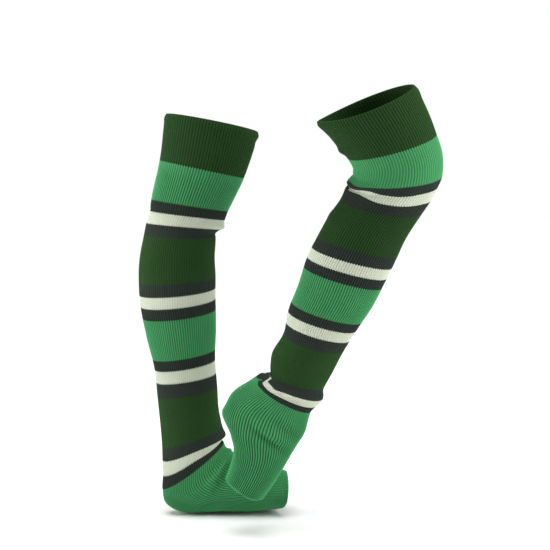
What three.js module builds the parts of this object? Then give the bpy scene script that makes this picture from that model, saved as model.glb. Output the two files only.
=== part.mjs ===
// A pair of over-the-knee leg warmers in striped rib knit, filled out as they are when worn. The standing
// one is straight and turns forward along the floor at its lower end. The crossed one bends at the knee,
// passes in front of the other and points down. Neither has a heel or a toe: each ends in an opening at
// the instep. Millimetres and degrees. +X is forward, -Y is the near side and +Z is up.
import * as THREE from "three";

const wall = 2.3;
const ribs = 84;
const ribHeight = 1;
const ribHeightAtSeams = 0.75;
const insideSides = 21;
const seamGap = 0.3;
const turnedHem = { length: 14, wall: 3 };

// The centre of the standing one's top edge, above the floor. The pair is held there, so it becomes the
// origin.
const heldAt = { x: -100, y: 0, z: 616 };

// Lengths along the knit, from the top edge down, at which the parts end. Each is where one yarn gives way
// to the next, and the last is the opening at the instep.
const ends = { cuff: 76, knee: 192, shin: 434, foot: 728 };

const yarns = {
  darkGreen: { color: 0x2b5a1e, roughness: 0.95, metalness: 0 },
  brightGreen: { color: 0x3f9c5c, roughness: 0.95, metalness: 0 },
};

// The parts of one leg warmer in knitting order. rows are the knit lengths that get a ring of points.
const standingParts = [
  { name: "standing_cuff", yarn: "darkGreen", hem: true, rows: [0, turnedHem.length, ends.cuff] },
  { name: "standing_knee_tube", yarn: "brightGreen", rows: [ends.cuff, 155, 169, 183, ends.knee] },
  { name: "standing_shin_tube", yarn: "darkGreen", rows: [ends.knee, 240, 300, 365, ends.shin] },
  {
    name: "standing_foot_tube",
    yarn: "brightGreen",
    rows: [ends.shin, 480, 508, 523, 548, 578, 606, 622, 662, ends.foot],
  },
];
const crossedParts = [
  { name: "crossed_cuff", yarn: "darkGreen", hem: true, rows: [0, turnedHem.length, 42, ends.cuff] },
  { name: "crossed_knee_tube", yarn: "brightGreen", rows: [ends.cuff, 107, 138, 160, ends.knee] },
  { name: "crossed_shin_tube", yarn: "darkGreen", rows: [ends.knee, 240, 300, 365, ends.shin] },
  {
    name: "crossed_foot_tube",
    yarn: "brightGreen",
    rows: [ends.shin, 475, 508, 524, 541, 562, 585, 604, 640, ends.foot],
  },
];

// One row for each ring round the tube. knit: length along the knit. x, y, z: the ring's centre, z above
// the floor. deep: half its size from back to front. wide: half its size from side to side. lean: how far
// its front is turned up. tip: how far its near side is turned down.
const standingRings = [
  { knit: 0, x: -100, y: 0, z: 616, deep: 76, wide: 69, lean: -11, tip: -3 },
  { knit: 76, x: -116, y: 0, z: 544, deep: 69, wide: 65, lean: -12, tip: -1 },
  { knit: 137, x: -136, y: 0, z: 486, deep: 62, wide: 60, lean: -9, tip: -2 },
  { knit: 155, x: -140, y: 0, z: 469, deep: 60, wide: 57, lean: -7, tip: -2 },
  { knit: 174, x: -146, y: 0, z: 454, deep: 60, wide: 56, lean: -5, tip: -2 },
  { knit: 192, x: -152, y: 0, z: 438, deep: 58, wide: 55, lean: -2, tip: 1 },
  { knit: 227, x: -157, y: 0, z: 401, deep: 60, wide: 57, lean: 1, tip: 2 },
  { knit: 262, x: -157, y: 0, z: 367, deep: 62, wide: 58, lean: 4, tip: 2 },
  { knit: 299, x: -156, y: 0, z: 330, deep: 61, wide: 57, lean: 6, tip: 3 },
  { knit: 348, x: -151, y: 0, z: 277, deep: 56, wide: 51, lean: 8, tip: 3 },
  { knit: 397, x: -146, y: 0, z: 229, deep: 50, wide: 46, lean: 9, tip: 2 },
  { knit: 434, x: -142, y: 0, z: 185, deep: 49, wide: 42, lean: 9, tip: 1 },
  { knit: 471, x: -139, y: 0, z: 146, deep: 49, wide: 40, lean: 14, tip: 1 },
  { knit: 508, x: -135, y: 0, z: 110, deep: 52, wide: 39, lean: 19, tip: 2 },
  { knit: 526, x: -134, y: 0, z: 91, deep: 54, wide: 38, lean: 23, tip: 4 },
  { knit: 545, x: -134, y: 1, z: 76, deep: 57, wide: 38, lean: 31, tip: 5 },
  { knit: 563, x: -134, y: 3, z: 61, deep: 63, wide: 37, lean: 37, tip: 7 },
  { knit: 595, x: -128, y: 7, z: 42, deep: 68, wide: 35, lean: 42, tip: 8 },
  { knit: 630, x: -104, y: 11, z: 29, deep: 65, wide: 36, lean: 47, tip: 8 },
  { knit: 665, x: -62, y: 15, z: 24, deep: 50, wide: 38, lean: 56, tip: 8 },
  { knit: 700, x: -20, y: 18, z: 18, deep: 40, wide: 39, lean: 70, tip: 8 },
  { knit: 728, x: 17, y: 21, z: 15, deep: 31, wide: 38, lean: 87, tip: 7 },
];
const crossedRings = [
  { knit: 0, x: 134, y: -155, z: 639, deep: 78, wide: 72, lean: 23, tip: 9 },
  { knit: 38, x: 156, y: -150, z: 607, deep: 73, wide: 68, lean: 19, tip: 9 },
  { knit: 76, x: 172, y: -147, z: 580, deep: 68, wide: 65, lean: 16, tip: 9 },
  { knit: 107, x: 182, y: -144, z: 556, deep: 67, wide: 62, lean: 10, tip: 11 },
  { knit: 137, x: 180, y: -142, z: 534, deep: 69, wide: 61, lean: 3, tip: 13 },
  { knit: 155, x: 175, y: -140, z: 521, deep: 68, wide: 60, lean: 0, tip: 13 },
  { knit: 174, x: 168, y: -138, z: 506, deep: 64, wide: 59, lean: -8, tip: 11 },
  { knit: 192, x: 158, y: -136, z: 488, deep: 61, wide: 58, lean: -11, tip: 8 },
  { knit: 227, x: 138, y: -135, z: 458, deep: 61, wide: 59, lean: -14, tip: 6 },
  { knit: 262, x: 124, y: -133, z: 430, deep: 62, wide: 59, lean: -14, tip: 5 },
  { knit: 299, x: 109, y: -130, z: 398, deep: 62, wide: 57, lean: -15, tip: 5 },
  { knit: 348, x: 92, y: -126, z: 355, deep: 59, wide: 52, lean: -16, tip: 6 },
  { knit: 397, x: 72, y: -122, z: 316, deep: 54, wide: 47, lean: -16, tip: 7 },
  { knit: 434, x: 59, y: -120, z: 283, deep: 48, wide: 43, lean: -16, tip: 7 },
  { knit: 471, x: 43, y: -118, z: 253, deep: 49, wide: 40, lean: -16, tip: 6 },
  { knit: 508, x: 33, y: -116, z: 223, deep: 44, wide: 38, lean: -17, tip: 9 },
  { knit: 526, x: 27, y: -115, z: 212, deep: 50, wide: 40, lean: -21, tip: 10 },
  { knit: 545, x: 19, y: -114, z: 206, deep: 51, wide: 41, lean: -26, tip: 10 },
  { knit: 563, x: 10, y: -113, z: 198, deep: 52, wide: 40, lean: -29, tip: 9 },
  { knit: 600, x: -12, y: -112, z: 169, deep: 64, wide: 37, lean: -25, tip: 6 },
  { knit: 635, x: -22, y: -110, z: 137, deep: 57, wide: 37, lean: -21, tip: 4 },
  { knit: 670, x: -24, y: -108, z: 104, deep: 43, wide: 38, lean: -20, tip: 3 },
  { knit: 700, x: -34, y: -107, z: 76, deep: 37, wide: 39, lean: -23, tip: 2 },
  { knit: 728, x: -48, y: -106, z: 50, deep: 33, wide: 38, lean: -32, tip: 1 },
];

// The largest folds. knit and around: the middle of the fold, around being degrees from the front by way
// of the near side. rise: how far it stands out, or sinks in where it is below zero. reach: half its
// height along the knit. spread: half its length round the tube. sag: how far its crest hangs down. slant:
// knit length for each degree round the tube.
const standingFolds = [
  { knit: 169, around: 0, rise: 4, reach: 7, spread: 50, sag: 3, slant: 0 },
  { knit: 187, around: 0, rise: -3, reach: 6, spread: 55, sag: 0, slant: 0 },
  { knit: 523, around: 0, rise: 3.5, reach: 9, spread: 50, sag: 3, slant: 0 },
  { knit: 549, around: 0, rise: -2.5, reach: 8, spread: 50, sag: 0, slant: 0 },
  { knit: 606, around: 48, rise: 5, reach: 8, spread: 45, sag: 0, slant: 0 },
  { knit: 622, around: 62, rise: -4, reach: 9, spread: 42, sag: 0, slant: 0.3 },
];
const crossedFolds = [
  { knit: 31, around: 180, rise: 2, reach: 9, spread: 45, sag: 0, slant: 0 },
  { knit: 138, around: 165, rise: 4, reach: 9, spread: 50, sag: 4, slant: 0 },
  { knit: 160, around: 165, rise: -3, reach: 7, spread: 55, sag: 0, slant: 0 },
  { knit: 510, around: 150, rise: -3, reach: 8, spread: 110, sag: 0, slant: 0 },
  { knit: 534, around: 180, rise: 3, reach: 9, spread: 120, sag: -1, slant: 0 },
  { knit: 614, around: 75, rise: 3.5, reach: 8, spread: 38, sag: 0, slant: -0.5 },
  { knit: 628, around: 75, rise: -3.5, reach: 8, spread: 38, sag: 0, slant: -0.55 },
];

// The slope of a column at row i, taken from its neighbours.
function slopeAt(rings, i, column) {
  const before = rings[Math.max(i - 1, 0)];
  const after = rings[Math.min(i + 1, rings.length - 1)];
  return (after[column] - before[column]) / (after.knit - before.knit);
}

// Every column at one knit length, on a smooth curve through the rows.
function ringAt(rings, knit) {
  let i = 0;
  while (i < rings.length - 2 && rings[i + 1].knit < knit) i += 1;
  const step = rings[i + 1].knit - rings[i].knit;
  const t = (knit - rings[i].knit) / step;
  const ring = {};
  for (const column of ["x", "y", "z", "deep", "wide", "lean", "tip"]) {
    const start = rings[i][column];
    const end = rings[i + 1][column];
    ring[column] =
      start * (1 + 2 * t) * (1 - t) ** 2 +
      end * (3 - 2 * t) * t ** 2 +
      slopeAt(rings, i, column) * step * t * (1 - t) ** 2 -
      slopeAt(rings, i + 1, column) * step * (1 - t) * t ** 2;
  }
  return ring;
}

// How much of a fold there is at a place on the knit, from 0 to 1.
function foldShare(fold, knit, degrees) {
  const turn = THREE.MathUtils.euclideanModulo(degrees - fold.around + 180, 360) - 180;
  const along = (knit - fold.knit - fold.slant * turn) / fold.reach;
  return Math.exp(-(along ** 2) - (turn / fold.spread) ** 2);
}

// A point of the knit. depth is how far it lies under the ring, and the knit is thicker where it folds.
function knitPoint(warmer, knit, degrees, depth) {
  const ring = ringAt(warmer.rings, knit);
  const lean = THREE.MathUtils.degToRad(ring.lean);
  const tip = THREE.MathUtils.degToRad(ring.tip);
  const angle = THREE.MathUtils.degToRad(degrees);
  const front = new THREE.Vector3(Math.cos(lean), 0, Math.sin(lean));
  const down = new THREE.Vector3(Math.sin(lean), 0, -Math.cos(lean));
  const near = new THREE.Vector3(0, -Math.cos(tip), 0).addScaledVector(down, Math.sin(tip));
  const outward = new THREE.Vector3()
    .addScaledVector(front, Math.cos(angle) / ring.deep)
    .addScaledVector(near, Math.sin(angle) / ring.wide)
    .normalize();
  const point = new THREE.Vector3(ring.x, ring.y, ring.z)
    .addScaledVector(front, ring.deep * Math.cos(angle))
    .addScaledVector(near, ring.wide * Math.sin(angle))
    .addScaledVector(outward, -depth);
  for (const fold of warmer.folds) {
    const share = foldShare(fold, knit, degrees);
    point.addScaledVector(outward, (fold.rise - depth / 2) * share).addScaledVector(down, fold.sag * share);
  }
  return point;
}

// One ring of points. Every second point lies in the groove between two ribs, which is 0 deep on a plain
// ring.
function ringPoints(warmer, knit, sides, inset, groove) {
  return Array.from({ length: sides }, (_, i) => {
    return knitPoint(warmer, knit, (360 * i) / sides, inset + (i % 2 === 0 ? groove : 0));
  });
}

// A wall of knit between the first and last row: ribs outside, plain inside, closed by a rim at each end.
function tubeGeometry(warmer, part) {
  const outsideSides = 2 * ribs;
  const perSide = outsideSides / insideSides;
  const last = part.rows.length - 1;
  const halfGap = seamGap / 2;
  const outside = [];
  const inside = [];
  part.rows.forEach((row, i) => {
    const knit = row + (i === 0 ? halfGap : 0) - (i === last ? halfGap : 0);
    const inset = part.hem && row <= turnedHem.length ? turnedHem.wall : wall;
    const groove = i === 0 || i === last ? ribHeightAtSeams : ribHeight;
    outside.push(ringPoints(warmer, knit, outsideSides, 0, groove));
    inside.push(ringPoints(warmer, knit, insideSides, inset, 0));
  });

  const points = [...outside.flat(), ...inside.flat()];
  const outer = (row, i) => row * outsideSides + (i + outsideSides) % outsideSides;
  const firstInner = outside.length * outsideSides;
  const inner = (row, j) => firstInner + row * insideSides + (j + insideSides) % insideSides;
  const index = [];
  const quad = (a, b, c, d) => index.push(a, b, c, a, c, d);
  for (let row = 0; row < last; row += 1) {
    for (let i = 0; i < outsideSides; i += 1) {
      quad(outer(row, i), outer(row, i + 1), outer(row + 1, i + 1), outer(row + 1, i));
    }
    for (let j = 0; j < insideSides; j += 1) {
      quad(inner(row, j + 1), inner(row, j), inner(row + 1, j), inner(row + 1, j + 1));
    }
  }
  for (const [row, flip] of [[0, false], [last, true]]) {
    const rim = (a, b, c) => (flip ? index.push(a, c, b) : index.push(a, b, c));
    for (let j = 0; j < insideSides; j += 1) {
      const middle = j * perSide;
      for (let i = middle - perSide / 2; i < middle + perSide / 2; i += 1) {
        rim(inner(row, j), outer(row, i + 1), outer(row, i));
      }
      rim(inner(row, j), inner(row, j + 1), outer(row, middle + perSide / 2));
    }
  }

  const geometry = new THREE.BufferGeometry().setFromPoints(points);
  geometry.setIndex(index);
  geometry.computeVertexNormals();
  return geometry;
}

function legWarmer(warmer) {
  const group = new THREE.Group();
  for (const part of warmer.parts) {
    const mesh = new THREE.Mesh(tubeGeometry(warmer, part), new THREE.MeshStandardMaterial(yarns[part.yarn]));
    mesh.name = part.name;
    group.add(mesh);
  }
  return group;
}

const pair = new THREE.Group();
pair.add(legWarmer({ parts: standingParts, rings: standingRings, folds: standingFolds }));
pair.add(legWarmer({ parts: crossedParts, rings: crossedRings, folds: crossedFolds }));
pair.position.set(-heldAt.x, -heldAt.y, -heldAt.z);

export default pair;
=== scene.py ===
import math

import bpy
import numpy as np
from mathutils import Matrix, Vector


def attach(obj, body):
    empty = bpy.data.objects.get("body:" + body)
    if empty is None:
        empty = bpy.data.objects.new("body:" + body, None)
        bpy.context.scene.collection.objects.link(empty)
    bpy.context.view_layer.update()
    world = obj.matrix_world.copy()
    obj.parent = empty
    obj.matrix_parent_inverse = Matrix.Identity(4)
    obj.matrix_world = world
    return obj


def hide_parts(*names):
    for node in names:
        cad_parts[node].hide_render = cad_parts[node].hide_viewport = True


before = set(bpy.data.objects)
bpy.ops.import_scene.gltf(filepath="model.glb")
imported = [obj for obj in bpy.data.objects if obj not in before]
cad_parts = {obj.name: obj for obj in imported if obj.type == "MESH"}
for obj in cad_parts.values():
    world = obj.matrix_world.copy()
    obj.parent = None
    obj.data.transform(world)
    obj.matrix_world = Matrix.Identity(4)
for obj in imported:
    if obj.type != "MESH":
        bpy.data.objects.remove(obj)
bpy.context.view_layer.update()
print("frame loaded:", len(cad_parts), "solids")

# A pair of striped rib leg warmers, filled out as they are when worn: a straight one, which stands, and one
# that is bent at its knee tube and crosses in front of it. The tables are in millimetres, with heights above
# the floor. heldAt is the frame's origin in them, at the centre of the standing one's top edge.
heldAt = (-100, 0, 616)

knit = {
    "ribs": 96,
    "pointsPerRib": 6,
    "length": 728,  # from the top edge to the opening
    "rowStep": 3,
    "insideStep": 9,
    "wall": 2.3,
    "hemWall": 3,
    "hemLength": 14,
    "fineLength": 18,  # the top edge has finer rows down to here
    "fineStep": 1.2,
    "ribHeight": 1.1,
    "unevenness": 0.5,
    "drift": 0.25,  # how far the whole face wanders
    "thickening": 0.5,  # the largest share that a fold adds to the wall
    "foldHeight": 6,  # a fold this high would double it
    "tuckGap": 0.15,
    "courseHeight": 3.8,
}

# One row for each ring round a tube: length along the knit, centre, half size from back to front and from
# side to side, and how far its front is turned up and its near side turned down, in degrees.
ringColumns = ("knit", "x", "y", "z", "deep", "wide", "lean", "tip")
standingRings = [
    (0, -100, 0, 616, 76, 69, -11, -3),
    (76, -116, 0, 544, 69, 65, -12, -1),
    (137, -136, 0, 486, 62, 60, -9, -2),
    (155, -140, 0, 469, 60, 57, -7, -2),
    (174, -146, 0, 454, 60, 56, -5, -2),
    (192, -152, 0, 438, 58, 55, -2, 1),
    (227, -157, 0, 401, 60, 57, 1, 2),
    (262, -157, 0, 367, 62, 58, 4, 2),
    (299, -156, 0, 330, 61, 57, 6, 3),
    (348, -151, 0, 277, 56, 51, 8, 3),
    (397, -146, 0, 229, 50, 46, 9, 2),
    (434, -142, 0, 185, 49, 42, 9, 1),
    (471, -139, 0, 146, 49, 40, 14, 1),
    (508, -135, 0, 110, 52, 39, 19, 2),
    (526, -134, 0, 91, 54, 38, 23, 4),
    (545, -134, 1, 76, 57, 38, 31, 5),
    (563, -134, 3, 61, 63, 37, 37, 7),
    (595, -128, 7, 42, 68, 35, 42, 8),
    (630, -104, 11, 29, 65, 36, 47, 8),
    (665, -62, 15, 24, 50, 38, 56, 8),
    (700, -20, 18, 18, 40, 39, 70, 8),
    (728, 17, 21, 15, 31, 38, 87, 7),
]
crossedRings = [
    (0, 134, -155, 639, 78, 72, 23, 9),
    (38, 156, -150, 607, 73, 68, 19, 9),
    (76, 172, -147, 580, 68, 65, 16, 9),
    (107, 182, -144, 556, 67, 62, 10, 11),
    (137, 180, -142, 534, 69, 61, 3, 13),
    (155, 175, -140, 521, 68, 60, 0, 13),
    (174, 168, -138, 506, 64, 59, -8, 11),
    (192, 158, -136, 488, 61, 58, -11, 8),
    (227, 138, -135, 458, 61, 59, -14, 6),
    (262, 124, -133, 430, 62, 59, -14, 5),
    (299, 109, -130, 398, 62, 57, -15, 5),
    (348, 92, -126, 355, 59, 52, -16, 6),
    (397, 72, -122, 316, 54, 47, -16, 7),
    (434, 59, -120, 283, 48, 43, -16, 7),
    (471, 43, -118, 253, 49, 40, -16, 6),
    (508, 33, -116, 223, 44, 38, -17, 9),
    (526, 27, -115, 212, 50, 40, -21, 10),
    (545, 19, -114, 206, 51, 41, -26, 10),
    (563, 10, -113, 198, 52, 40, -29, 9),
    (600, -12, -112, 169, 64, 37, -25, 6),
    (635, -22, -110, 137, 57, 37, -21, 4),
    (670, -24, -108, 104, 43, 38, -20, 3),
    (700, -34, -107, 76, 37, 39, -23, 2),
    (728, -48, -106, 50, 33, 38, -32, 1),
]

# One row for each fold or crease: its middle by knit length and by degrees from the front round the near
# side, how far it rises, half its height along the knit, half its length round the tube, how far its crest
# sags, and the knit length that it slants for each degree. The solids have the large ones too, in places a
# little shallower.
standingFolds = [
    (169, 0, 4, 7, 50, 3, 0),
    (187, 0, -3, 6, 55, 0, 0),
    (523, 0, 3.5, 9, 50, 3, 0),
    (549, 0, -2.5, 8, 50, 0, 0),
    (604, 50, 6.5, 6.5, 46, 0, 0),
    (623, 62, -8, 10, 44, 0, 0.27),
    (0, 0, -2, 4, 500, 0, 0),
    (8, 0, 1.4, 5, 75, 0, 0),
    (18, 0, -0.8, 5, 60, 0, 0),
    (8, 180, 0.7, 5, 60, 0, 0),
    (728, 180, 0, 24, 48, -11, 0),
    (148, 200, 0.8, 6, 40, 0, 0.05),
    (211, 30, 0.9, 8, 45, 0, 0.05),
    (602, 8, 3.5, 9, 16, 0, 0),
    (650, 100, 1.5, 12, 40, 0, 0.3),
]
crossedFolds = [
    (57, 178, 3.5, 9, 40, 1, 0),
    (138, 165, 5, 9, 50, 5, 0),
    (160, 165, -3, 7, 55, 0, 0),
    (510, 150, -3, 8, 110, 0, 0),
    (534, 180, 3, 9, 120, -1, 0),
    (618, 75, 5, 8, 34, 0, -0.28),
    (631, 75, -5, 8, 32, 0, -0.42),
    (602, 60, -3.2, 7, 28, 0, -0.35),
    (586, 180, 1.5, 12, 35, 1, 0),
    (625, 180, 6.5, 11, 30, 0, 0),
    (648, 178, -2, 8, 30, 0, 0),
    (530, 180, -1.5, 10, 30, 3, 0),
    (0, 165, 0, 16, 45, -6, 0),
    (0, 0, -2, 4, 500, 0, 0),
    (9, 5, 1, 7, 50, 0, 0),
    (7, 175, 1.6, 6, 50, 0, 0),
    (26, 178, -0.8, 7, 40, 0, 0),
    (128, 168, -4.5, 7, 42, 0, 0),
    (163, 165, -2, 6, 40, 0, 0),
    (728, 5, 0, 16, 40, -4, 0),
    (220, 190, 0.9, 8, 40, 0, 0),
    (648, 75, 1.2, 8, 30, 0, -0.5),
    (660, 70, -1.2, 8, 30, 0, -0.4),
]

# Where the stripes slip along the knit as it gathers: middle, degrees round, how far, and half the reach
# along the knit and round it.
standingGathers = [
    (536, 85, 5, 9, 25),
]
crossedGathers = [
    (148, 131, 8, 10, 17),
    (160, 176, -8, 6, 20),
    (170, 172, 8, 5, 20),
    (168, 142, 8, 8, 18),
    (180, 28, 7, 12, 30),
    (135, 168, 5, 6, 22),
    (155, 82, -3.5, 7, 18),
    (174, 125, 3, 7, 15),
    (508, 45, 4, 10, 40),
    (508, 148, -4, 8, 20),
    (533, 150, 12, 9, 14),
    (545, 120, -4, 6, 14),
    (563, 90, 3, 10, 90),
    (555, 148, 4, 12, 25),
    (534, 118, -6, 8, 14),
]

# Where a stripe is tucked out of sight in a fold: first length past the tuck, degrees round, how much of
# the knit it takes in, and half the reach along the knit and round it.
crossedTucks = [
    (163, 186, 20, 10, 17),
    (513, 178, 36, 36, 27.5),
]

# The tables of each one. open is how far its ribs open, which also sets how deep the painted shade in their
# grooves is, and spread how far they draw apart on one side, both by knit length. spreadTo is that side, in
# degrees round, and phase sets how the face wanders.
pair = {
    "standing": {
        "rings": standingRings,
        "folds": standingFolds,
        "gathers": standingGathers,
        "tucks": [],
        "open": [(0, 0.8), (76, 0.8), (100, 1.3), (137, 1.3), (192, 0.5), (262, 0.5), (320, 1.1), (379, 1.1),
                 (440, 0.4), (508, 0.4), (563, 1), (600, 1.2)],
        "spread": [(570, 0), (640, 0.3)],
        "spreadTo": 0,
        "phase": 0.7,
    },
    "crossed": {
        "rings": crossedRings,
        "folds": crossedFolds,
        "gathers": crossedGathers,
        "tucks": crossedTucks,
        "open": [(0, 0.9), (76, 0.8), (100, 0.8), (137, 0.8), (192, 1), (262, 1), (320, 1.2), (379, 1.2),
                 (440, 0.5), (508, 0.5), (563, 1), (600, 1.4), (700, 1.7)],
        "spread": [(0, -0.1), (137, 0), (560, 0), (640, 0.35), (728, 0.45)],
        "spreadTo": 95,
        "phase": 2.9,
    },
}

# flat is the width all round and the length of what each stretch of tube was knitted to.
tubes = {
    "cuff": {"start": 0, "end": 76, "slot": "dark_green_knit", "flat": (0.44, 0.076)},
    "knee_tube": {"start": 76, "end": 192, "slot": "bright_green_knit", "flat": (0.38, 0.116)},
    "shin_tube": {"start": 192, "end": 434, "slot": "dark_green_knit", "flat": (0.34, 0.242)},
    "foot_tube": {"start": 434, "end": knit["length"], "slot": "bright_green_knit", "flat": (0.28, 0.294)},
}


# The surface of the knit, from the tables

def ringsAt(rings, length):
    table = np.array(rings, float)
    at = table[:, 0]
    before = np.maximum(np.arange(len(at)) - 1, 0)
    after = np.minimum(np.arange(len(at)) + 1, len(at) - 1)
    slopes = (table[after] - table[before]) / (at[after] - at[before])[:, None]
    i = np.clip(np.searchsorted(at, length) - 1, 0, len(at) - 2)
    step = (at[i + 1] - at[i])[..., None]
    t = (length - at[i])[..., None] / step
    rows = (
        table[i] * (1 + 2 * t) * (1 - t) ** 2
        + table[i + 1] * (3 - 2 * t) * t**2
        + slopes[i] * step * t * (1 - t) ** 2
        - slopes[i + 1] * step * (1 - t) * t**2
    )
    return dict(zip(ringColumns, np.moveaxis(rows, -1, 0)))


def turnFrom(degrees, around):
    return (degrees - around + 180) % 360 - 180


def foldShare(length, degrees, middle, around, reach, spread, slant=0.0):
    turn = turnFrom(degrees, around)
    return np.exp(-(((length - middle - slant * turn) / reach) ** 2) - (turn / spread) ** 2)


def knitSurface(warmer, length, degrees, depth=0.0):
    # points that lie this deep in the knit, the way outwards and the way down the tube
    ring = ringsAt(warmer["rings"], length)
    lean, tip, angle = np.radians(ring["lean"]), np.radians(ring["tip"]), np.radians(degrees)
    none = np.zeros_like(angle)
    front = np.stack([np.cos(lean), none, np.sin(lean)], -1)
    down = np.stack([np.sin(lean), none, -np.cos(lean)], -1)
    near = np.stack([none, -np.cos(tip), none], -1) + down * np.sin(tip)[..., None]
    across, aside = np.cos(angle)[..., None], np.sin(angle)[..., None]
    deep, wide = ring["deep"][..., None], ring["wide"][..., None]
    outward = front * across / deep + near * aside / wide
    outward /= np.linalg.norm(outward, axis=-1, keepdims=True)
    points = np.stack([ring["x"], ring["y"], ring["z"]], -1) + front * deep * across + near * wide * aside
    phase = warmer["phase"]
    drift = np.sin(length / 17 + 2 * angle + phase) + np.sin(length / 29 - 3 * angle + 2 * phase)
    depth = np.broadcast_to(depth, angle.shape)[..., None]
    points += outward * (knit["drift"] * drift[..., None] - depth)
    for middle, around, rise, reach, spread, sag, slant in warmer["folds"]:
        share = foldShare(length, degrees, middle, around, reach, spread, slant)[..., None]
        thicker = depth * min(abs(rise) / knit["foldHeight"], knit["thickening"])
        points += (outward * (rise - thicker) + down * sag) * share
    return points, outward, down


def tubeRings(tube, tucks):
    # knit length, depth under the outer face, distance past the edge and share of the ribs, for each ring of
    # points: down the outside, round the lower rim, up the inside and round the upper rim
    start, end = tube["start"], tube["end"]
    hem = start == 0
    opening = end == knit["length"]
    clearance = 0.5  # no other ring comes closer than this to the finer ones
    top = knit["hemWall"] / 2 if hem else 0
    bottom = knit["wall"] / 2 if opening else 0
    count = round((end - start) / knit["rowStep"])
    outside = [(length, 0, 0, 1) for length in np.linspace(start + top, end - bottom, count + 1)]
    if hem:
        fine = [(length, 0, 0, 1) for length in np.arange(start + top, knit["fineLength"], knit["fineStep"])]
        outside = fine + [row for row in outside if row[0] > knit["fineLength"] + clearance]
    for at in [tuck[0] for tuck in tucks if start < tuck[0] < end]:
        # two rings close together, so that the stripe breaks off short
        outside = [row for row in outside if abs(row[0] - at) > clearance]
        outside += [(at - knit["tuckGap"], 0, 0, 1), (at + knit["tuckGap"], 0, 0, 1)]
    outside.sort()
    count = round((end - start) / knit["insideStep"])
    inside = []
    for length in np.linspace(end - bottom, start + top, count + 1):
        thick = knit["hemWall"] if hem and length <= knit["hemLength"] else knit["wall"]
        inside.append((length, thick, 0, 0))
    lower, upper = [], []
    for a in np.radians([30, 60, 90, 120, 150]):  # round the half circle of each rim
        lower.append((end - bottom, bottom * (1 - math.cos(a)), bottom * math.sin(a), (1 + math.cos(a)) / 2))
        upper.append((start + top, top * (1 + math.cos(a)), -top * math.sin(a), (1 - math.cos(a)) / 2))
    return outside + (lower if opening else []) + inside + (upper if hem else []), len(outside), hem, opening


def ribDegrees(warmer, length, ribNumber):
    # where a rib runs round the tube, spread out on one side
    even = ribNumber * 360 / knit["ribs"]
    spread = np.interp(length, *zip(*warmer["spread"]))
    return even + np.degrees(spread * np.sin(np.radians(even - warmer["spreadTo"])))


def stripeLength(warmer, length, degrees):
    # the knit length that the stripes go by
    slipped = length.copy()
    for middle, around, slip, reach, spread in warmer["gathers"]:
        slipped += slip * foldShare(length, degrees, middle, around, reach, spread)
    for start, around, taken, reach, spread in warmer["tucks"]:
        across = turnFrom(degrees, around) / spread
        share = np.exp(-(((length - start) / reach) ** 2) - across**8)  # it ends short on either side
        slipped += np.where(length >= start, taken * share, 0)
    return slipped


def tubeMesh(name, warmer, tube):
    rings, outsideCount, hem, opening = tubeRings(tube, warmer["tucks"])
    columns = knit["ribs"] * knit["pointsPerRib"]
    rows = len(rings)
    ribNumber = np.tile(np.arange(columns) / knit["pointsPerRib"], (rows, 1))
    length, depth, past, share = (np.repeat(np.array(v, float)[:, None], columns, 1) for v in zip(*rings))
    degrees = ribDegrees(warmer, length, ribNumber)
    points, outward, down = knitSurface(warmer, length, degrees, depth)
    points += down * past[..., None]
    along = stripeLength(warmer, length, degrees)

    mesh = bpy.data.meshes.new(name)
    mesh.vertices.add(rows * columns)
    mesh.vertices.foreach_set("co", ((points - heldAt) / 1000).ravel())
    row, column = np.meshgrid(np.arange(rows), np.arange(columns), indexing="ij")
    nextRow, nextColumn = (row + 1) % rows, (column + 1) % columns
    corners = [(row, column), (row, nextColumn), (nextRow, nextColumn), (nextRow, column)]
    loops = np.stack([a * columns + b for a, b in corners], -1).reshape(-1, 4)
    mesh.loops.add(loops.size)
    mesh.loops.foreach_set("vertex_index", loops.ravel())
    mesh.polygons.add(len(loops))
    mesh.polygons.foreach_set("loop_start", np.arange(len(loops)) * 4)
    mesh.update(calc_edges=True)
    mesh.polygons.foreach_set("use_smooth", np.ones(len(loops), bool))

    # the map that the yarn follows: rib number across, knit length along
    across = np.stack([column, column + 1, column + 1, column], -1) / knit["pointsPerRib"]
    along = np.stack([along[corner] for corner in corners], -1)
    knitMap = mesh.uv_layers.new(name="knitMap")
    knitMap.data.foreach_set("uv", np.stack([across, along], -1).ravel())

    ribOpen = np.interp(length, *zip(*warmer["open"]))
    for key, values in (("ribNumber", ribNumber), ("outsideShare", share), ("ribOpen", ribOpen)):
        mesh.attributes.new(key, "FLOAT", "POINT").data.foreach_set("value", values.ravel())
    mesh.attributes.new("outward", "FLOAT_VECTOR", "POINT").data.foreach_set("vector", outward.ravel())

    # a rim that meets the next tube stays sharp, so that the two shade as one surface
    sharp = ([] if hem else [0, rows - 1]) + ([] if opening else [outsideCount - 1, outsideCount])
    ends = np.zeros(len(mesh.edges) * 2, int)
    mesh.edges.foreach_get("vertices", ends)
    ends = ends.reshape(-1, 2) // columns
    isSharp = (ends[:, 0] == ends[:, 1]) & np.isin(ends[:, 0], sharp)
    mesh.attributes.new("sharp_edge", "BOOLEAN", "EDGE").data.foreach_set("value", isSharp)
    mesh.validate()
    return mesh


# Help with node trees

def addNode(tree, kind, inputs=None, **settings):
    node = tree.nodes.new(kind)
    for key, value in settings.items():
        setattr(node, key, value)
    for key, value in (inputs or {}).items():
        if isinstance(value, bpy.types.NodeSocket):
            tree.links.new(value, node.inputs[key])
        else:
            node.inputs[key].default_value = value
    return node


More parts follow.
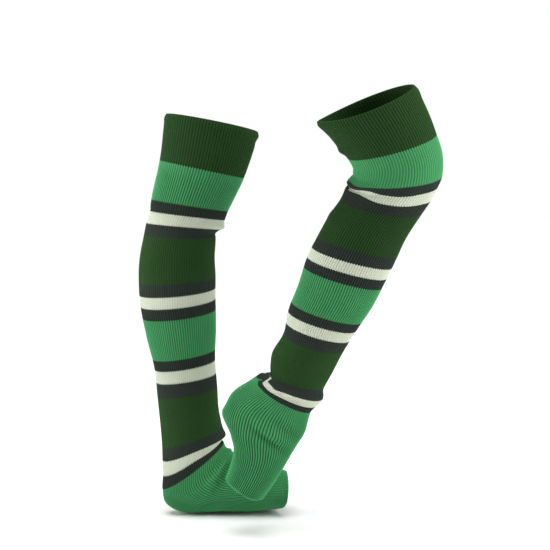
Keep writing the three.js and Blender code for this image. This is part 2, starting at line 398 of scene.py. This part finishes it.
def addGroup(tree, group, inputs):
    # a shader node group, whose inputs exist only once the node has its tree
    node = tree.nodes.new("ShaderNodeGroup")
    node.node_tree = group
    for key, value in inputs.items():
        if isinstance(value, bpy.types.NodeSocket):
            tree.links.new(value, node.inputs[key])
        else:
            node.inputs[key].default_value = value
    return node.outputs


def maths(tree, operation, *values, clamp=False):
    kind = "ShaderNodeMath"
    return addNode(tree, kind, dict(enumerate(values)), operation=operation, use_clamp=clamp).outputs[0]


def between(tree, value, low, high, toLow=0.0, toHigh=1.0, smooth=False):
    inputs = {"Value": value, "From Min": low, "From Max": high, "To Min": toLow, "To Max": toHigh}
    style = "SMOOTHSTEP" if smooth else "LINEAR"
    return addNode(tree, "ShaderNodeMapRange", inputs, interpolation_type=style).outputs[0]


def newTree(name, kind, inputs, outputs):
    tree = bpy.data.node_groups.new(name, kind)
    for label, socket, default in inputs:
        item = tree.interface.new_socket(label, in_out="INPUT", socket_type=socket)
        if default is not None:
            item.default_value = default
    for label, socket in outputs:
        tree.interface.new_socket(label, in_out="OUTPUT", socket_type=socket)
    return tree, tree.nodes.new("NodeGroupInput").outputs, tree.nodes.new("NodeGroupOutput").inputs


# The tree that raises the ribs out of a smooth tube

def buildRaiseRibs():
    tree, given, result = newTree(
        "raiseRibs",
        "GeometryNodeTree",
        [
            ("Geometry", "NodeSocketGeometry", None),
            ("Rib Height", "NodeSocketFloat", 0.001),
            ("Unevenness", "NodeSocketFloat", 0.3),
            ("Seed", "NodeSocketFloat", 1.0),
            ("Material", "NodeSocketMaterial", None),
        ],
        [("Geometry", "NodeSocketGeometry")],
    )

    def attribute(name, kind="FLOAT"):
        return addNode(tree, "GeometryNodeInputNamedAttribute", {"Name": name}, data_type=kind).outputs[0]

    position = addNode(tree, "GeometryNodeInputPosition").outputs[0]
    noise = addNode(
        tree,
        "ShaderNodeTexNoise",
        {"Vector": position, "W": given["Seed"], "Scale": 70.0, "Detail": 2.0},
        noise_dimensions="4D",
    ).outputs[0]
    crest = maths(tree, "MULTIPLY", attribute("ribNumber"), 2 * math.pi)
    crest = maths(tree, "MULTIPLY_ADD", maths(tree, "COSINE", crest), -0.5, 0.5)
    crest = maths(tree, "POWER", crest, 0.7)  # rounded crests over narrower grooves
    uneven = maths(tree, "MULTIPLY_ADD", maths(tree, "SUBTRACT", noise, 0.5), given["Unevenness"], 0.0)
    height = maths(tree, "ADD", maths(tree, "SUBTRACT", crest, 1.0), uneven)
    height = maths(tree, "MULTIPLY", height, given["Rib Height"])
    height = maths(tree, "MULTIPLY", height, attribute("ribOpen"))
    height = maths(tree, "MULTIPLY", height, attribute("outsideShare"))
    outward = attribute("outward", "FLOAT_VECTOR")
    offset = addNode(tree, "ShaderNodeVectorMath", {0: outward, "Scale": height}, operation="SCALE")
    moved = addNode(
        tree, "GeometryNodeSetPosition", {"Geometry": given["Geometry"], "Offset": offset.outputs[0]}
    )
    whole = addNode(tree, "GeometryNodeRealizeInstances", {"Geometry": moved.outputs[0]})
    finished = addNode(
        tree, "GeometryNodeSetMaterial", {"Geometry": whole.outputs[0], "Material": given["Material"]}
    )
    tree.links.new(finished.outputs[0], result["Geometry"])
    return tree


# The tree that works the cast-off chain round an opening

def buildCastOffChain():
    tree, given, result = newTree(
        "castOffChain",
        "GeometryNodeTree",
        [
            ("Geometry", "NodeSocketGeometry", None),
            ("Links", "NodeSocketInt", 96),
            ("Link Length", "NodeSocketFloat", 0.004),
            ("Wander", "NodeSocketFloat", 0.3),
            ("Seed", "NodeSocketInt", 1),
            ("Material", "NodeSocketMaterial", None),
        ],
        [("Geometry", "NodeSocketGeometry")],
    )
    path = addNode(tree, "GeometryNodeMeshToCurve", {"Mesh": given["Geometry"]})
    path = addNode(
        tree, "GeometryNodeResampleCurve", {"Curve": path.outputs[0], "Count": given["Links"]}, mode="COUNT"
    )
    # one link of thread, a squashed ring a unit long
    ring = addNode(tree, "GeometryNodeCurvePrimitiveCircle", {"Resolution": 8, "Radius": 0.5})
    squashed = addNode(
        tree, "GeometryNodeTransform", {"Geometry": ring.outputs[0], "Scale": (1.0, 0.5, 1.0)}
    )
    thread = addNode(tree, "GeometryNodeCurvePrimitiveCircle", {"Resolution": 5, "Radius": 0.16})
    link = addNode(
        tree, "GeometryNodeCurveToMesh", {"Curve": squashed.outputs[0], "Profile Curve": thread.outputs[0]}
    )
    tangent = addNode(tree, "GeometryNodeInputTangent").outputs[0]
    turn = addNode(tree, "FunctionNodeAlignRotationToVector", {"Vector": tangent}, axis="X")
    wander = addNode(
        tree, "FunctionNodeRandomValue", {2: -0.5, 3: 0.5, "Seed": given["Seed"]}, data_type="FLOAT"
    ).outputs[1]
    wander = maths(tree, "MULTIPLY", wander, given["Wander"])
    tilt = addNode(tree, "ShaderNodeCombineXYZ", {"X": wander, "Z": wander})
    turn = addNode(
        tree, "FunctionNodeRotateRotation", {"Rotation": turn.outputs[0], "Rotate By": tilt.outputs[0]},
        rotation_space="LOCAL",
    )
    spread = addNode(
        tree,
        "GeometryNodeInstanceOnPoints",
        {
            "Points": path.outputs[0],
            "Instance": link.outputs[0],
            "Rotation": turn.outputs[0],
            "Scale": given["Link Length"],
        },
    )
    whole = addNode(tree, "GeometryNodeRealizeInstances", {"Geometry": spread.outputs[0]})
    finished = addNode(
        tree, "GeometryNodeSetMaterial", {"Geometry": whole.outputs[0], "Material": given["Material"]}
    )
    tree.links.new(finished.outputs[0], result["Geometry"])
    return tree


def grow(obj, tree, values):
    # runs a tree on the object and keeps the plain mesh that comes out
    modifier = obj.modifiers.new(tree.name, "NODES")
    modifier.node_group = tree
    for item in tree.interface.items_tree:
        if item.in_out == "INPUT" and item.name in values:
            modifier[item.identifier] = values[item.name]
    bpy.context.view_layer.update()
    depsgraph = bpy.context.evaluated_depsgraph_get()
    mesh = bpy.data.meshes.new_from_object(obj.evaluated_get(depsgraph), depsgraph=depsgraph)
    obj.modifiers.clear()
    obj.data = mesh
    mesh.name = obj.name


# Shader groups that both knits use

# Length along the knit, from the top edge, at which each colour ends.
stripes = [
    ("darkGreen", 76),
    ("brightGreen", 137),
    ("charcoal", 155),
    ("cream", 174),
    ("charcoal", 192),
    ("darkGreen", 262),
    ("charcoal", 282.5),
    ("cream", 299),
    ("charcoal", 317),
    ("brightGreen", 379),
    ("charcoal", 398),
    ("cream", 416),
    ("charcoal", 434),
    ("darkGreen", 508),
    ("charcoal", 526),
    ("cream", 545),
    ("charcoal", 563),
    ("brightGreen", 740),
]

# Each yarn's colour, and how much painted shade it takes in the grooves.
yarns = {
    "darkGreen": ((0.0185, 0.0540, 0.0138), 0.5),
    "brightGreen": ((0.0565, 0.2800, 0.1010), 0.5),
    "charcoal": ((0.0245, 0.0325, 0.0268), 0.4),
    "cream": ((0.5700, 0.6100, 0.4850), 0.15),
}


def buildStitches():
    # where a point lies in its rib and in its course: crests, grooves, and the V of each stitch
    tree, given, result = newTree(
        "ribStitches",
        "ShaderNodeTree",
        [("Vector", "NodeSocketVector", None), ("Course Height", "NodeSocketFloat", 3.0)],
        [("Crest", "NodeSocketFloat"), ("Stitch", "NodeSocketFloat"), ("Relief", "NodeSocketFloat")],
    )
    parts = addNode(tree, "ShaderNodeSeparateXYZ", {"Vector": given["Vector"]}).outputs
    crest = maths(tree, "COSINE", maths(tree, "MULTIPLY", parts["X"], 2 * math.pi))
    crest = maths(tree, "MULTIPLY_ADD", crest, -0.5, 0.5)
    place = maths(tree, "FRACT", parts["X"])
    side = maths(tree, "ABSOLUTE", maths(tree, "MULTIPLY_ADD", place, 2.0, -1.0))
    course = maths(tree, "DIVIDE", parts["Y"], given["Course Height"])
    course = maths(tree, "MULTIPLY_ADD", side, -0.8, course)
    stitch = maths(tree, "ABSOLUTE", maths(tree, "SINE", maths(tree, "MULTIPLY", course, math.pi)))
    stitch = maths(tree, "POWER", stitch, 0.6)
    arms = between(tree, side, 0.0, 0.25, 0.55, 1.0, smooth=True)  # the two arms of the V part in the middle
    relief = maths(tree, "MULTIPLY", stitch, arms)
    tree.links.new(crest, result["Crest"])
    tree.links.new(stitch, result["Stitch"])
    tree.links.new(relief, result["Relief"])
    return tree


def buildYarnColourAndShade():
    # the stripes, with an edge that steps at each rib, then painted shade in the grooves and between the
    # stitches, and the heather
    tree, given, result = newTree(
        "yarnColourAndShade",
        "ShaderNodeTree",
        [
            ("Vector", "NodeSocketVector", None),
            ("Place", "NodeSocketVector", None),
            ("Crest", "NodeSocketFloat", 1.0),
            ("Stitch", "NodeSocketFloat", 1.0),
            ("Edge Step", "NodeSocketFloat", 1.5),
            ("Groove Shade", "NodeSocketFloat", 1.0),
            ("Stitch Shade", "NodeSocketFloat", 0.2),
            ("Heather", "NodeSocketFloat", 0.2),
        ],
        [("Colour", "NodeSocketColor"), ("Roughness", "NodeSocketFloat")],
    )
    along = addNode(tree, "ShaderNodeSeparateXYZ", {"Vector": given["Vector"]}).outputs["Y"]
    step = maths(tree, "MULTIPLY", maths(tree, "SUBTRACT", given["Crest"], 0.5), given["Edge Step"])
    length = maths(tree, "DIVIDE", maths(tree, "ADD", along, step), stripes[-1][1])
    ramp = addNode(tree, "ShaderNodeValToRGB", {"Fac": length})
    ramp.color_ramp.interpolation = "CONSTANT"
    starts = [0] + [end / stripes[-1][1] for name, end in stripes[:-1]]
    while len(ramp.color_ramp.elements) < len(stripes):
        ramp.color_ramp.elements.new(0.5)
    for element, start in zip(ramp.color_ramp.elements, starts):
        element.position = start
    for element, (name, end) in zip(ramp.color_ramp.elements, stripes):
        # the ramp's alpha carries how much painted shade this yarn takes in its grooves
        colour, paintedGrooveShade = yarns[name]
        element.color = (*colour, paintedGrooveShade)
    # painted groove shade, scaled by how open the ribs are
    paintedGrooveShade = maths(tree, "MULTIPLY", ramp.outputs["Alpha"], given["Groove Shade"])
    # painted shade: darker where the crest falls away into the groove
    shade = between(tree, given["Crest"], 0.0, 0.7, -1.0, 0.0, smooth=True)
    shade = maths(tree, "MULTIPLY_ADD", shade, paintedGrooveShade, 1.0, clamp=True)
    # painted shade: darker in the gaps between the stitches
    paintedGapShade = between(tree, given["Stitch"], 0.0, 0.7, -1.0, 0.0)
    paintedGapShade = maths(tree, "MULTIPLY_ADD", paintedGapShade, maths(tree, "MULTIPLY", paintedGrooveShade, given["Stitch Shade"]), 1.0)
    fibres = addNode(tree, "ShaderNodeTexNoise", {"Vector": given["Place"], "Scale": 900.0, "Detail": 3.0})
    cloudy = addNode(tree, "ShaderNodeTexNoise", {"Vector": given["Place"], "Scale": 35.0, "Detail": 2.0})
    heather = maths(tree, "SUBTRACT", fibres.outputs[0], 0.5)
    heather = maths(tree, "MULTIPLY_ADD", cloudy.outputs[0], 0.5, heather)
    heather = maths(tree, "MULTIPLY_ADD", maths(tree, "SUBTRACT", heather, 0.25), given["Heather"], 1.0)
    shade = maths(tree, "MULTIPLY", maths(tree, "MULTIPLY", shade, paintedGapShade), heather)
    # the stripe colours, darkened by the painted shade and varied by the heather, the yarn's own tone
    dyedAndShaded = {0: ramp.outputs["Color"], "Scale": shade}
    colour = addNode(tree, "ShaderNodeVectorMath", dyedAndShaded, operation="SCALE")
    tree.links.new(colour.outputs[0], result["Colour"])
    tree.links.new(between(tree, given["Crest"], 0.0, 1.0, 1.0, 0.86), result["Roughness"])
    return tree


stitches = buildStitches()
yarnColourAndShade = buildYarnColourAndShade()

# Both knits are of the same yarn and stitch, so they share one finish, with the same painted shade in the
# grooves and between the stitches.
slots = {"dark_green_knit": "darkGreenKnit", "bright_green_knit": "brightGreenKnit"}
finishAndShade = {
    # grooveShade and stitchShade set the painted shade in the grooves and between the stitches
    "grooveShade": 0.9,
    "stitchShade": 0.5,
    "heather": 0.3,
    "edgeStep": 1.8,
    "bump": 0.5,
    "bumpHeight": 0.0005,
    "fuzzScale": 1600.0,
    "fuzz": 0.35,
    "sheen": 0.5,
    "sheenGain": 3.0,  # the sheen has the yarn's own colour, lighter but never above sheenMost
    "sheenMost": 0.6,
}


def knitMaterial(name):
    material = bpy.data.materials.new(name)
    material.use_nodes = True
    tree = material.node_tree
    tree.nodes.clear()
    mapped = addNode(tree, "ShaderNodeUVMap", uv_map="knitMap").outputs[0]
    place = addNode(tree, "ShaderNodeTexCoord").outputs["Object"]
    knitted = addGroup(tree, stitches, {"Vector": mapped, "Course Height": knit["courseHeight"]})
    ribOpen = addNode(tree, "ShaderNodeAttribute", attribute_name="ribOpen").outputs["Fac"]
    # the stripes and heather, with painted shade in the grooves, deeper where the ribs open wider, and
    # between the stitches
    coloured = addGroup(
        tree,
        yarnColourAndShade,
        {
            "Vector": mapped,
            "Place": place,
            "Crest": knitted["Crest"],
            "Stitch": knitted["Stitch"],
            "Edge Step": finishAndShade["edgeStep"],
            "Groove Shade": maths(tree, "MULTIPLY", ribOpen, finishAndShade["grooveShade"]),
            "Stitch Shade": finishAndShade["stitchShade"],
            "Heather": finishAndShade["heather"],
        },
    )
    fuzz = addNode(
        tree, "ShaderNodeTexNoise", {"Vector": place, "Scale": finishAndShade["fuzzScale"], "Detail": 2.0}
    )
    height = maths(tree, "MULTIPLY_ADD", fuzz.outputs[0], finishAndShade["fuzz"], knitted["Relief"])
    bump = addNode(
        tree,
        "ShaderNodeBump",
        {"Height": height, "Strength": finishAndShade["bump"], "Distance": finishAndShade["bumpHeight"]},
    )
    lighter = {0: coloured["Colour"], "Scale": finishAndShade["sheenGain"]}
    tint = addNode(tree, "ShaderNodeVectorMath", lighter, operation="SCALE")
    capped = {0: tint.outputs[0], 1: (finishAndShade["sheenMost"],) * 3}
    tint = addNode(tree, "ShaderNodeVectorMath", capped, operation="MINIMUM")
    shader = addNode(
        tree,
        "ShaderNodeBsdfPrincipled",
        {
            "Base Color": coloured["Colour"],
            "Roughness": coloured["Roughness"],
            "Normal": bump.outputs[0],
            "Specular IOR Level": 0.08,
            "Sheen Weight": finishAndShade["sheen"],
            "Sheen Tint": tint.outputs[0],
            "Sheen Roughness": 0.5,
        },
    )
    addNode(tree, "ShaderNodeOutputMaterial", {"Surface": shader.outputs[0]})
    return material


materials = {slot: knitMaterial(name) for slot, name in slots.items()}
print("materials made:", len(materials))


# The eight stretches of tube

raiseRibs = buildRaiseRibs()
castOffChain = buildCastOffChain()


def addPiece(name, mesh):
    obj = bpy.data.objects.new(name, mesh)
    bpy.context.scene.collection.objects.link(obj)
    return obj


castOff = {
    "linkLength": 4.0,
    "wander": 0.25,
    "aboveEdge": 0.4,
    "depth": 1.1,
}


def addCastOff(side, warmer, tube, seed):
    # the chain of loops that finishes the opening, one for each rib
    count = knit["ribs"] * 2
    length = np.full(count, float(tube["end"] - castOff["aboveEdge"]))
    degrees = ribDegrees(warmer, length, np.arange(count) / 2)
    points, outward, down = knitSurface(warmer, length, degrees, castOff["depth"])
    mesh = bpy.data.meshes.new(side + "_cast_off")
    edges = [(i, (i + 1) % count) for i in range(count)]
    mesh.from_pydata([tuple(p) for p in (points - heldAt) / 1000], edges, [])
    obj = addPiece(side + "_cast_off", mesh)
    grow(obj, castOffChain, {
        "Links": knit["ribs"],
        "Link Length": castOff["linkLength"] / 1000,
        "Wander": castOff["wander"],
        "Seed": seed,
        "Material": materials[tube["slot"]],
    })
    mesh = obj.data
    mesh.polygons.foreach_set("use_smooth", np.ones(len(mesh.polygons), bool))
    onCrest = np.tile((0.5, tube["end"]), len(mesh.loops))  # plain yarn of the last stripe
    mesh.uv_layers.new(name="knitMap").data.foreach_set("uv", onCrest)
    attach(obj, "root")
    return obj


def addTube(side, tubeName, seed):
    warmer, tube = pair[side], tubes[tubeName]
    name = side + "_" + tubeName
    obj = addPiece(name + "_knit", tubeMesh(name + "_knit", warmer, tube))
    grow(obj, raiseRibs, {
        "Rib Height": knit["ribHeight"] / 1000,
        "Unevenness": knit["unevenness"],
        "Seed": float(seed),
        "Material": materials[tube["slot"]],
    })
    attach(obj, "root")
    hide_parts(name)
    if tube["end"] == knit["length"]:
        addCastOff(side, warmer, tube, seed)
    return obj


for seed, (side, tubeName) in enumerate([(a, b) for a in pair for b in tubes], 1):
    piece = addTube(side, tubeName, seed)
    print(piece.name, len(piece.data.polygons), "faces")


# Floor, lights and camera

studio = {
    "floorZ": -0.637,
    "floorSize": 18,
    "floorColour": (0.93, 0.93, 0.93),
    "backdrop": 1.0,
    "roomLight": 0.06,
    "overhead": 3.35,
    "middle": (0.1, -0.05, -0.3),
    "boxes": {
        "leftBox": {"at": (-1.9, -0.4, 0.0), "size": (1.0, 2.2), "power": 32},
        "backBox": {"at": (-1.9, 0.65, 0.0), "size": (1.0, 2.2), "power": 12},
        "rightBox": {"at": (1.9, -0.55, 0.1), "size": (0.8, 2.2), "power": 32},
    },
    "overheadAt": (0.1, -0.3, 2),
    "overheadSpread": 60,
    "cameraAt": (0.100, -2.078, -0.043),
    "pitch": 5.5,
    "lens": 85,
    "sensorWidth": 36,
}


def addFloor():
    mesh = bpy.data.meshes.new("floor")
    half = studio["floorSize"] / 2
    corners = [(-half, -half), (half, -half), (half, half), (-half, half)]
    mesh.from_pydata([(x, y, studio["floorZ"]) for x, y in corners], [], [(0, 1, 2, 3)])
    floor = addPiece("floor", mesh)
    material = bpy.data.materials.new("paleFloor")
    material.use_nodes = True
    shader = material.node_tree.nodes["Principled BSDF"]
    shader.inputs["Base Color"].default_value = (*studio["floorColour"], 1)
    shader.inputs["Roughness"].default_value = 0.9
    shader.inputs["Specular IOR Level"].default_value = 0.0
    mesh.materials.append(material)


def addLight(name, kind, energy, at):
    light = bpy.data.lights.new(name, kind)
    light.energy = energy
    obj = bpy.data.objects.new(name, light)
    obj.location = at
    obj.rotation_euler = (Vector(studio["middle"]) - Vector(at)).to_track_quat("-Z", "Y").to_euler()
    bpy.context.scene.collection.objects.link(obj)
    return light


def addRoom():
    # white to look at, and a softer light from all round
    world = bpy.data.worlds.new("studio")
    world.use_nodes = True
    tree = world.node_tree
    seen = addNode(tree, "ShaderNodeLightPath").outputs["Is Camera Ray"]
    strength = between(tree, seen, 0.0, 1.0, studio["roomLight"], studio["backdrop"])
    background = tree.nodes["Background"]
    background.inputs["Color"].default_value = (1, 1, 1, 1)
    tree.links.new(strength, background.inputs["Strength"])
    bpy.context.scene.world = world


addFloor()
addRoom()
for name, box in studio["boxes"].items():
    light = addLight(name, "AREA", box["power"], box["at"])
    light.shape = "RECTANGLE"
    light.size, light.size_y = box["size"]
overhead = addLight("overhead", "SUN", studio["overhead"], studio["overheadAt"])
overhead.angle = math.radians(studio["overheadSpread"])
bpy.context.scene.view_settings.view_transform = "Standard"

camera = bpy.data.objects.new("camera", bpy.data.cameras.new("camera"))
camera.data.lens = studio["lens"]
camera.data.sensor_width = studio["sensorWidth"]
camera.location = studio["cameraAt"]
camera.rotation_euler = (math.radians(90 - studio["pitch"]), 0, 0)
bpy.context.scene.collection.objects.link(camera)
bpy.context.scene.camera = camera
print("studio set")
